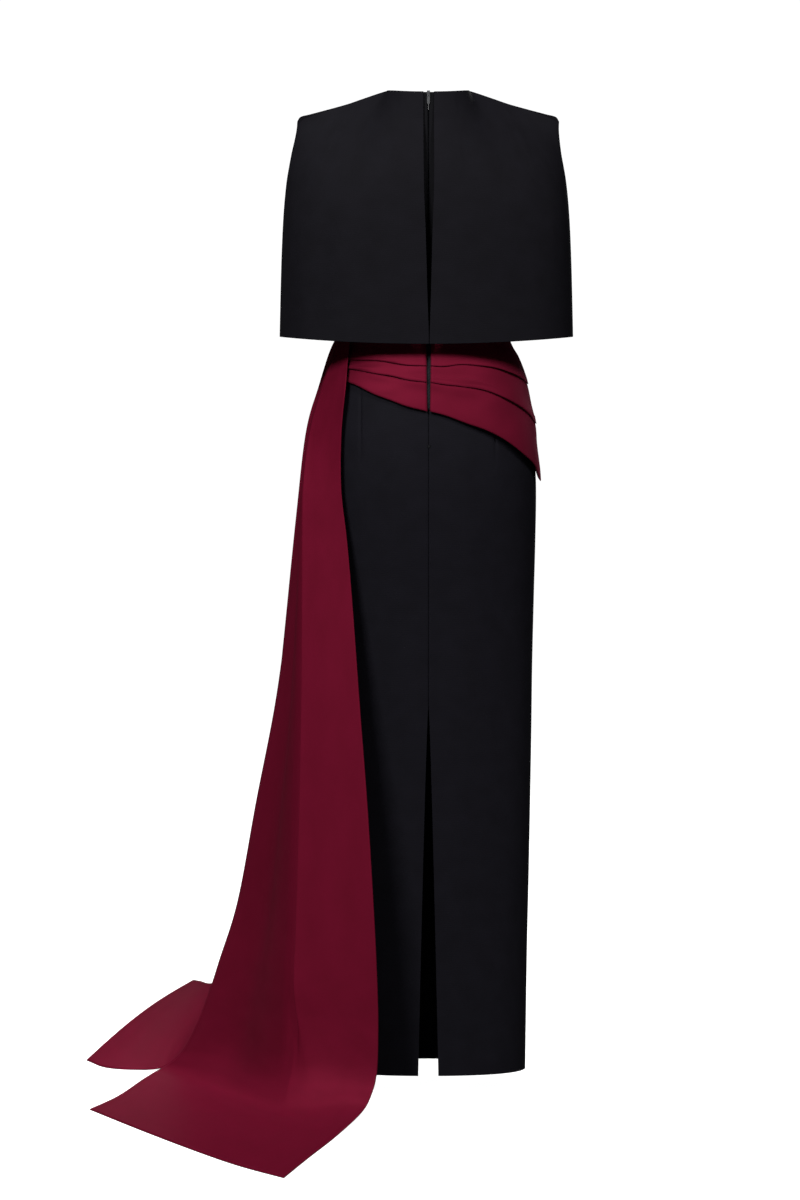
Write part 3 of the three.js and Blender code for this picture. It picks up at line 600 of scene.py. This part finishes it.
def makeSkirt():
    made = []
    for side, hand in (("left", -1), ("right", 1)):
        def back(u, v, hand=hand):
            return skirtPoint(u, v, hand, "back")

        made.append(clothPanel(
            f"skirt_back_{side}_cloth", f"skirt_back_{side}", back, (skirt["columns"], skirt["rows"]),
            skirt["thick"], skirtCrepe, outOfAxis, spaced=closerAtSeams,
            rounded=skirt["pressedEdge"]))

    def front(u, v):
        turn, hand = bothSides(u)
        return skirtPoint(turn, v, hand, "front")

    made.append(clothPanel(
        "skirt_front_cloth", "skirt_front", front, (skirt["frontColumns"], skirt["frontRows"]), skirt["thick"],
        skirtCrepe, outOfAxis, rounded=skirt["pressedEdge"]))
    return made


# hip drape: satin folded into two tucks and a turned lower edge, from the low right side up to the left
drape = {"thick": 0.9, "top": 3.2, "foldFirst": 7.2, "foldSecond": 6.8, "lower": 5.8, "lowerRightLift": 8.0,
         "lap": 12.0, "columns": 100, "frontColumns": 160, "rowsPerStep": 3, "zipTop": 3.8, "zipFoot": 2.0,
         "hemLap": 17.0, "hemInside": 2.6, "foldStand": 3.0, "sideCalm": 20}
tuckRows = table(
    "side first second lower gape",
    (-1, -407, -418, -434, 0.9), (-0.75, -407.5, -422, -443.5, 0.85), (-0.52, -408.5, -428, -459, 0.75),
    (-0.36, -412, -431.5, -467.5, 1.0), (-0.2, -415, -437, -476.5, 0.7), (0, -416, -440.5, -484, 0.5),
    (0.15, -416.8, -444, -490, 0.6), (0.33, -414, -447, -501, 0.5), (0.54, -416, -452.5, -514, 0.7),
    (0.7, -419.5, -462.5, -530, 0.9), (0.86, -428, -477, -553, 1.1), (0.94, -435, -489, -568, 0.8),
    (0.98, -441, -500, -587, 0.55), (1, -445, -505, -592, 0.45))
# wrinkles run with the tucks and are closer together where the train pulls them at the left
drapeCreases = table(
    "x z long wide lean high",
    (-92, -399, 3.5, 34, 0.1, 1.6), (-84, -412, 3.0, 36, -0.2, -1.2), (-92, -419, 2.6, 32, -0.3, 1.3),
    (-100, -431, 4, 18, -0.4, 1.0), (-70, -442, 5, 22, -0.5, -0.9), (-28, -424, 4, 18, -0.3, 0.9),
    (-60, -452, 5, 16, -0.4, 1.0), (30, -400, 6, 30, 0.2, 0.9),
    (74, -432, 12, 26, 1.0, 1.0), (96, -470, 14, 22, 0.8, 1.2), (118, -500, 16, 14, 0.4, -1.0),
    (20, -462, 12, 28, 1.2, 0.8), (-30, -452, 10, 20, 1.0, -0.7), (128, -450, 14, 12, 0.2, 1.1))


# a folded edge: the outer cloth turns under at the edge, runs back up, and comes down again behind itself.
# Each step is upwards from the edge, in millimetres or in laps, and inwards.
foldSteps = table(
    "up laps inwards",
    (3.5, 0, 0.1), (1.6, 0, 0.05), (0.5, 0, 0.35), (0, 0, 1.0), (0.4, 0, 1.65), (1.6, 0, 2.0), (0, 0.5, 2.25),
    (-0.9, 1, 2.55), (0, 1, 3.1), (-0.9, 1, 3.6), (0, 0.45, 3.8))


# the turned lower edge, upwards from the edge and inwards
hemSteps = table("up inwards", (3, 0), (1, 0.2), (0, 0.8), (0.5, 1.5), (3, 1.8))


def foldedTuck(edge, outer, lap, below, gape):
    folded = [(edge + row["up"] + row["laps"] * lap, outer - gape * row["inwards"]) for row in foldSteps]
    return folded + [(edge - below * 0.3, outer - gape * 3.75), (edge - below, outer - gape * 3.5)]


# the drape's upright section at one place round the hip, as heights and how far each stands off the figure
def drapeSection(side):
    columns = ("first", "second", "lower", "gape")
    first, second, lower, gape = (along(tuckRows, "side", side, column) for column in columns)
    right = clamp(side)
    lift = drape["lowerRightLift"] * right ** 1.5 * (1 - 0.75 * right ** 8)
    topGap, midGap, lowGap = gown["waist"] - first, first - second, second - lower
    hem = drape["lower"] + lift
    secondFold = drape["foldSecond"] + lift * 0.3
    hemTop = lower + min(drape["hemLap"], lowGap * 0.6)
    return (
        [(gown["waist"], drape["top"]), (gown["waist"] - topGap * 0.3, drape["top"] + 1.2),
         (gown["waist"] - topGap * 0.65, drape["foldFirst"] - 1.2)]
        + foldedTuck(first, drape["foldFirst"], min(drape["lap"], topGap * 0.4), midGap * 0.16, gape)
        + [(first - midGap * 0.55, drape["foldSecond"] - 1.5)]
        + foldedTuck(second, secondFold, min(drape["lap"], midGap * 0.36), lowGap * 0.1, gape)
        + [(second - lowGap * 0.35, drape["lower"] - 1.6 + lift * 0.5),
           (second - lowGap * 0.75, drape["lower"] - 0.4 + lift * 0.9)]
        + [(lower + row["up"], hem - row["inwards"]) for row in hemSteps]
        + [(hemTop, drape["hemInside"] + lift * 0.35)])


# smooth curve through the section's points, one span for each pair of them
def onSection(points, v):
    place = v * (len(points) - 1)
    i = min(int(place), len(points) - 2)
    s = place - i
    a, b, c, d = (points[clampIndex(i + k, len(points))] for k in (-1, 0, 1, 2))
    out = []
    for k in (0, 1):
        # a slack tangent keeps long spans beside short ones from swinging out
        near, far = abs(b[0] - a[0]) + abs(b[1] - a[1]), abs(d[0] - c[0]) + abs(d[1] - c[1])
        span = abs(c[0] - b[0]) + abs(c[1] - b[1])
        before = (c[k] - a[k]) * span / max(span + near, 1e-6)
        after = (d[k] - b[k]) * span / max(span + far, 1e-6)
        out.append(b[k] * (1 + 2 * s) * (1 - s) ** 2 + c[k] * s * s * (3 - 2 * s)
                   + before * s * (1 - s) ** 2 - after * s * s * (1 - s))
    return out


def clampIndex(i, count):
    return max(0, min(count - 1, i))


def drapePoint(u, v, hand, face):
    side = hand * soften(math.sin(u * math.pi / 2))
    z, stand = onSection(drapeSection(side), v)
    run = clamp((gown["waist"] - z) / (gown["waist"] - along(tuckRows, "side", 0, "lower")))
    zipHalf = blendTo(drape["zipTop"], drape["zipFoot"], run)
    start = edgeTurn(figureRows, z, zipHalf) if face == "back" else 0
    point = ringPoint(figureRows, z, start + (1 - start) * u, hand, face, stand)
    where = point.x if face == "back" else -point.x
    # only the outer cloth of the folds is creased
    outer = clamp((stand - drape["foldStand"]) / drape["foldStand"])
    away = clamp(abs(point.y) / drape["sideCalm"])
    return clearOfSeam(pushOut(point, creaseReach(drapeCreases, where, z) * outer * away), face)


def makeDrape():
    rows = (len(drapeSection(0)) - 1) * drape["rowsPerStep"]
    made = []
    for side, hand in (("left", -1), ("right", 1)):
        def back(u, v, hand=hand):
            return drapePoint(u, v, hand, "back")

        made.append(clothPanel(
            f"drape_back_{side}_cloth", f"drape_back_{side}", back, (drape["columns"], rows), drape["thick"],
            drapeSatin, outOfAxis))

    def front(u, v):
        turn, hand = bothSides(u)
        return drapePoint(turn, v, hand, "front")

    made.append(clothPanel(
        "drape_front_cloth", "drape_front", front, (drape["frontColumns"], rows), drape["thick"], drapeSatin,
        outOfAxis))
    return made


# train, front tail. Its rows give the left edge (l), the knife fold (k) and the right edge (r) on the way
# down. Places down the tail are counted in rows from 0, and the knee is where the cloth has met the floor.
train = {"thick": 1.3, "columns": 120, "rows": 260, "floorClear": 0.3, "knee": 14, "hemBow": 28,
         "headWidth": 70, "fullWidth": 300, "softEnd": 14.4, "softFade": 3}
knifeFold = {"at": 0.5, "lap": 15.0, "startsAt": 0.44, "endsAt": 0.62, "from": 0.6, "opens": 1.2,
             "until": 12.8, "closes": 3.2, "roundsFrom": 10.5, "roundsOver": 3.0, "rounding": 0.6,
             "roundWide": 0.22}
frontTailRows = table(
    "lx ly lz kx ky rx ry rz",
    (-121.8, 14, -352, -121.2, -18, -110.7, -48.8, -352),
    (-141, 12, -383, -138, -22, -119, -58, -384),
    (-163, 15, -448, -161, -34, -125, -84, -450),
    (-182, 20, -519, -180, -46, -131, -90, -518),
    (-193, 27, -600, -189, -68, -131, -97, -600),
    (-202, 36, -680, -190, -80, -122, -107, -679),
    (-213, 43, -783, -190, -92, -114, -121, -770),
    (-233, 53, -932, -190.5, -112, -102, -148, -930),
    (-263, 65, -1087, -193, -130, -91, -170, -1070),
    (-292, 75, -1242, -197, -152, -81, -193, -1230),
    (-321, 81, -1336, -201, -166, -76, -206, -1335),
    (-342, 84, -1400, -202, -174, -75, -213, -1400),
    (-366, 92, -1457, -204, -183, -77, -221, -1455),
    (-388, 100, -1490, -209, -202, -85, -235, -1485),
    (-414, 106, -1509, -217, -238, -99, -266, -1504),
    (-436, 24, -1510, -240, -300, -135, -412, -1510),
    (-465, -110, -1510, -272, -401, -170, -555, -1510),
    (-500, -212, -1510, -303, -520, -200, -683, -1510))
# the train's cross-section at the knife fold: how many laps right of the fold, and how far behind the panel
knifeSteps = table(
    "right behind",
    (-1.3, 0.0), (-0.85, 1.6), (-0.42, 5.8), (-0.1, 12.6), (0.5, 13.8), (0.92, 11.2), (1.0, 8.4),
    (0.92, 6.0), (0.5, 4.4), (0.1, 3.5), (0.0, 2.7), (-0.06, 1.5), (0.0, 0.5), (0.14, 0.0))
# soft folds down the tail: place across it and drift on the way down, height outwards and half width
softFolds = table(
    "name across drift reach spread",
    ("ridge", 0.37, 0.0, 5.5, 0.11),
    ("valley", 0.2, 0.0, -11.0, 0.09),
    ("edge roll", 0.03, 0.0, 2.5, 0.05),
    ("slack", 0.74, -0.1, 1.8, 0.13))


# a tail's edges at a share v of the way down it, kept so that each is worked out once
keptRows = {}


def tailRow(rows, v):
    if (id(rows), v) not in keptRows:
        place = v * (len(rows) - 1)
        spots = [dict(row, spot=spot) for spot, row in enumerate(rows)]
        keptRows[id(rows), v] = dict({key: along(spots, "spot", place, key) for key in rows[0]}, place=place)
    return keptRows[id(rows), v]


# across the tail, u runs along the cloth: to the knife fold, under and back, then over the flat panel
def acrossTail(u, width, folded):
    lap = knifeFold["lap"] / width
    start, end = knifeFold["startsAt"], knifeFold["endsAt"]
    behind = 0.0
    if u <= start:
        share = u / start * (knifeFold["at"] + knifeSteps[0]["right"] * lap)
    elif u >= end:
        share = blendTo(knifeFold["at"] + knifeSteps[-1]["right"] * lap, 1, (u - end) / (1 - end))
    else:
        points = [(row["right"], row["behind"]) for row in knifeSteps]
        right, behind = onSection(points, (u - start) / (end - start))
        share = knifeFold["at"] + right * lap
    return blendTo(u, share, folded), behind * folded


def softReach(share, v):
    return sum(soft["reach"] * bump(share - soft["across"] - soft["drift"] * v, soft["spread"])
               for soft in softFolds)


# nothing goes through the floor
def aboveFloor(point):
    point.z = max(point.z, gown["floor"] + train["thick"] + train["floorClear"])
    return point


def frontTailPoint(u, v):
    row = tailRow(frontTailRows, v)
    place = row["place"]
    left = Vector((row["lx"], row["ly"], row["lz"]))
    right = Vector((row["rx"], row["ry"], row["rz"]))
    middle = knifeFold["at"]
    fold = Vector((row["kx"], row["ky"], blendTo(row["lz"], row["rz"], middle)))
    width = (left - right).length
    # the fold lies flat against the panel near the head and opens out where the cloth meets the floor
    folded = clamp((place - knifeFold["from"]) / knifeFold["opens"])
    folded *= easeIn((knifeFold["until"] - place) / knifeFold["closes"])
    share, behind = acrossTail(u, width, folded)
    if share < middle:
        point = left.lerp(fold, share / middle)
    else:
        point = fold.lerp(right, (share - middle) / (1 - middle))
    # towards the floor the corner at the fold rounds out
    pull = 2 * fold - (left + right) / 2
    curved = left * (1 - share) ** 2 + pull * 2 * share * (1 - share) + right * share ** 2
    rounding = easeIn((place - knifeFold["roundsFrom"]) / knifeFold["roundsOver"])
    rounding *= knifeFold["rounding"] * bump(share - middle, knifeFold["roundWide"])
    point = point.lerp(curved, rounding)
    outwards = Vector((right.y - left.y, left.x - right.x, 0)).normalized()
    wide = clamp((width - train["headWidth"]) / (train["fullWidth"] - train["headWidth"]))
    fading = easeIn((train["softEnd"] - place) / train["softFade"])
    point += outwards * (softReach(share, v) * wide * fading - behind)
    onFloor = clamp((place - train["knee"]) / (len(frontTailRows) - 1 - train["knee"]))
    point.y -= train["hemBow"] * onFloor ** 2 * math.sin(math.pi * share)
    return aboveFloor(point)


# train, rear tail: its near edge (n) and far edge (f), the rise of the cloth between them and its roll
rearTailRows = table(
    "nx ny nz fx fy fz rise roll",
    (-118.8, 24, -352, -107.2, 50.2, -352, 0, 3), (-138, 27, -385, -129, 57, -385, 0, 9),
    (-150, 38, -450, -138, 84, -450, 0, 19), (-165, 46, -520, -146, 108, -520, 0, 24),
    (-180, 56, -650, -152, 140, -640, 0, 25), (-205, 72, -850, -168, 196, -840, 0, 22),
    (-240, 92, -1060, -187, 264, -1040, 0, 12), (-285, 108, -1260, -219, 352, -1230, 2, 0),
    (-330, 117, -1390, -258, 444, -1345, 4, 0), (-368, 119, -1465, -294, 530, -1415, 6, 0),
    (-400, 114, -1502, -330, 606, -1452, 8, 0), (-432, 103, -1510, -364, 664, -1469, 10, 0),
    (-497, 117, -1510, -382, 690, -1469.5, 10, 0), (-536, 181, -1510, -395, 700, -1469, 10, 0))
rearTail = {"columns": 70, "rows": 200, "rollAt": 0.13, "rollWide": 0.12, "waves": 1.5, "waveReach": 4.0,
            "waveFrom": 1.5, "waveGrows": 3, "waveEnd": 9, "waveFade": 5}


def rearTailPoint(u, v):
    row = tailRow(rearTailRows, v)
    near = Vector((row["nx"], row["ny"], row["nz"]))
    far = Vector((row["fx"], row["fy"], row["fz"]))
    point = near.lerp(far, u)
    point.z += row["rise"] * math.sin(math.pi * u)
    # its near edge rolls outwards, so that a narrow strip of it shows beside the front tail
    point.x -= row["roll"] * bump(u - rearTail["rollAt"], rearTail["rollWide"])
    hanging = clamp((rearTail["waveEnd"] - row["place"]) / rearTail["waveFade"])
    hanging *= clamp((row["place"] - rearTail["waveFrom"]) / rearTail["waveGrows"])
    wave = math.sin(2 * math.pi * u * rearTail["waves"]) * math.sin(math.pi * u)
    point.x -= rearTail["waveReach"] * hanging * wave
    return aboveFloor(point)


def outOfFrontTail(centre):
    return Vector((-1.0, -0.9, 0.5))


def outOfRearTail(centre):
    return Vector((-1.0, 0.3, 0.5))


def makeTrain():
    return [
        clothPanel("train_front_tail_cloth", "train_front_tail", frontTailPoint,
                   (train["columns"], train["rows"]), train["thick"], trainSatin, outOfFrontTail),
        clothPanel("train_rear_tail_cloth", "train_rear_tail", rearTailPoint,
                   (rearTail["columns"], rearTail["rows"]), train["thick"], trainSatin,
                   outOfRearTail)]


# zip: two woven tapes behind the closed edges, a nylon coil between them, the tape that shows where the satin
# is slit, and the bar tack at the zip's foot
zipper = {"tapeWide": 12, "tapeGrid": (6, 90), "inset": 3.6, "below": 2, "thick": 0.8}
coil = {"pitch": 1.4, "long": 3.4, "thick": 0.7, "below": 10, "short": 2, "sides": 6}
satinSlit = {"top": -372, "foot": -482, "half": 5.2, "stand": 1.3, "thick": 0.6, "grid": (4, 30)}
tack = {"wide": 4.6, "tall": 3.2, "threads": 8, "x": 0.9, "z": -536, "thick": 0.45, "sides": 8, "stand": 0.35}
quarterTurn = Matrix(((0, 0, 1), (0, 1, 0), (-1, 0, 0)))


# where the bodice and the skirt lie at the back, at a height
def backOfGown(z, x=0.0):
    half = along(figureRows, "z", z, "half")
    share = (1 - (abs(x) / half) ** gown["roundness"]) ** (1 / gown["roundness"])
    onFigure = -along(figureRows, "z", z, "back") * share
    if z < gown["waist"]:
        return onFigure
    top = -bodice["backDrop"]
    v = clamp((z - top) / (gown["waist"] - top))
    onNeck = -bodice["neckBack"] * math.sqrt(1 - (x / bodice["neckHalf"]) ** 2)
    return blendTo(onNeck, onFigure, 1 - (1 - v) ** bodice["fall"])


def outOfBack(centre):
    return Vector((0, -1, 0))


# a short round rod across the gown, one turn of the coil or one stitch
def addRod(bm, place, long, thick, sides):
    radius = thick / 2 * mm
    rod = bmesh.ops.create_cone(bm, cap_ends=True, segments=sides, radius1=radius, radius2=radius,
                                depth=long * mm)
    bmesh.ops.rotate(bm, verts=rod["verts"], cent=(0, 0, 0), matrix=quarterTurn)
    bmesh.ops.translate(bm, verts=rod["verts"], vec=Vector(place) * mm)


def finishRods(name, bm, look):
    mesh = bpy.data.meshes.new(name)
    for face in bm.faces:
        face.smooth = len(face.verts) == 4
    bm.to_mesh(mesh)
    bm.free()
    piece = bpy.data.objects.new(name, mesh)
    bpy.context.scene.collection.objects.link(piece)
    mesh.materials.append(look)
    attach(piece, "gown")
    print("gown:", name)


def makeZip():
    made = []
    top = -bodice["backDrop"] - zipper["below"]
    for side, hand in (("left", -1), ("right", 1)):
        def tape(u, v, hand=hand):
            z = blendTo(top, gown["zipEnd"], v)
            x = hand * blendTo(gown["seamHalf"], zipper["tapeWide"], u)
            return Vector((x, backOfGown(z, x) + zipper["inset"], z))

        made.append(clothPanel(f"zip_tape_{side}_cloth", f"zip_tape_{side}", tape, zipper["tapeGrid"],
                               zipper["thick"], zipTapeCloth, outOfBack))

    def showing(u, v):
        z = blendTo(satinSlit["top"], satinSlit["foot"], v)
        x = blendTo(-1, 1, u) * satinSlit["half"]
        return Vector((x, backOfGown(z, x) - satinSlit["stand"], z))

    # this strip of tape has its colour painted lighter, as painted light
    made.append(clothPanel("zip_tape_in_satin", None, showing, satinSlit["grid"], satinSlit["thick"],
                           zipTapePaintedLighter, outOfBack))

    bm = bmesh.new()
    for i in range(int((top - coil["below"] - coil["short"] - gown["zipEnd"]) / coil["pitch"])):
        z = top - coil["below"] - i * coil["pitch"]
        y = backOfGown(z) + zipper["inset"] + zipper["thick"] + coil["thick"] / 2
        addRod(bm, (0, y, z), coil["long"], coil["thick"], coil["sides"])
    finishRods("zip_coil", bm, blackNylon)

    bm = bmesh.new()
    for i in range(tack["threads"]):
        z = tack["z"] - tack["tall"] * (i / (tack["threads"] - 1) - 0.5)
        y = backOfGown(z, tack["x"]) - tack["thick"] * tack["stand"]
        addRod(bm, (tack["x"], y, z), tack["wide"], tack["thick"], tack["sides"])
    finishRods("zip_bar_tack", bm, tackThread)
    return made


# the slider and its tab keep their solids and get their metal
def dressMetal():
    for name in ("zip_slider", "zip_pull_tab"):
        metal = bpy.data.objects[name]
        metal.data.materials.clear()
        metal.data.materials.append(polishedNickel)


panels = makeCape() + makeBodice() + makeSkirt() + makeDrape() + makeTrain() + makeZip()
dressMetal()

# floor, light and camera, in metres. The paper is seen white and throws little light back on the gown.
studio = {"floorHalf": 40, "floorAhead": 20, "floorSeen": 1.0, "floorGrey": 0.5, "floorBounce": 0.15,
          "sky": 0.03, "skySeen": 1.05}
# the front lamp is a weak one for the side that the camera doesn't see
lamps = table(
    "name size power spread place aim",
    ("key", 1.2, 290, 180, (-1.8, -3.6, 2.5), (-0.1, 0, -0.8)),
    ("fill", 1.3, 185, 180, (2.2, -3.3, 3.3), (-0.1, 0, -0.8)),
    ("top", 0.8, 2.4, 32, (-0.75, 0.4, 1.3), (-0.38, 0.25, -1.5)),
    ("front", 1.6, 60, 180, (0.9, 3.8, 1.6), (-0.1, 0.1, -0.9)))
view = {"lens": 118.5, "sensor": 36, "shiftUp": -0.12, "reach": 100,
        "place": (-0.0427, -6.0, -0.365), "aim": (-0.0427, 0, -0.554)}


def grey(value):
    return (value, value, value, 1)


def turnTo(place, aim):
    return (Vector(aim) - Vector(place)).to_track_quat("-Z", "Y").to_euler()


def makeStage():
    mesh = bpy.data.meshes.new("studio_floor")
    bm = bmesh.new()
    bmesh.ops.create_grid(bm, x_segments=1, y_segments=1, size=studio["floorHalf"])
    bmesh.ops.translate(bm, verts=bm.verts, vec=(0, studio["floorAhead"], gown["floor"] * mm))
    bm.to_mesh(mesh)
    bm.free()
    floor = bpy.data.objects.new("studio_floor", mesh)
    bpy.context.scene.collection.objects.link(floor)
    look = newLook("pale floor")
    ray = addNode(look, "ShaderNodeLightPath")
    bounce = addNode(look, "ShaderNodeBsdfDiffuse", {"Color": grey(studio["floorBounce"])})
    paper = addNode(look, "ShaderNodeBsdfPrincipled",
                    {"Base Color": grey(studio["floorGrey"]), "Roughness": 1.0, "Specular IOR Level": 0.0,
                     "Emission Color": grey(1), "Emission Strength": studio["floorSeen"]})
    both = addNode(look, "ShaderNodeMixShader", {}, {0: ray.outputs["Is Camera Ray"], 1: bounce.outputs[0],
                                                     2: paper.outputs["BSDF"]})
    addNode(look, "ShaderNodeOutputMaterial", {}, {"Surface": both.outputs[0]})
    mesh.materials.append(look)


def makeLamp(row):
    lamp = bpy.data.lights.new(row["name"], "AREA")
    lamp.size = row["size"]
    lamp.energy = row["power"]
    lamp.color = (1, 1, 1)
    lamp.spread = math.radians(row["spread"])
    holder = bpy.data.objects.new(row["name"], lamp)
    holder.location = row["place"]
    holder.rotation_euler = turnTo(row["place"], row["aim"])
    bpy.context.scene.collection.objects.link(holder)


def makeLight():
    world = bpy.data.worlds.new("studio")
    bpy.context.scene.world = world
    world.use_nodes = True
    world.node_tree.nodes.clear()
    ray = addNode(world, "ShaderNodeLightPath")
    lit = addNode(world, "ShaderNodeBackground", {"Color": grey(1), "Strength": studio["sky"]})
    seen = addNode(world, "ShaderNodeBackground", {"Color": grey(1), "Strength": studio["skySeen"]})
    both = addNode(world, "ShaderNodeMixShader", {}, {0: ray.outputs["Is Camera Ray"], 1: lit.outputs[0],
                                                      2: seen.outputs[0]})
    addNode(world, "ShaderNodeOutputWorld", {}, {"Surface": both.outputs[0]})
    for row in lamps:
        makeLamp(row)


def makeCamera():
    camera = bpy.data.cameras.new("camera")
    camera.sensor_fit = "AUTO"
    camera.sensor_width = view["sensor"]
    camera.lens = view["lens"]
    camera.shift_y = view["shiftUp"]
    camera.clip_end = view["reach"]
    holder = bpy.data.objects.new("camera", camera)
    holder.location = view["place"]
    holder.rotation_euler = turnTo(view["place"], view["aim"])
    bpy.context.scene.collection.objects.link(holder)
    bpy.context.scene.camera = holder


makeStage()
makeLight()
makeCamera()
bpy.context.scene.view_settings.view_transform = "Standard"
bpy.context.scene.view_settings.look = "None"
print("gown: studio")
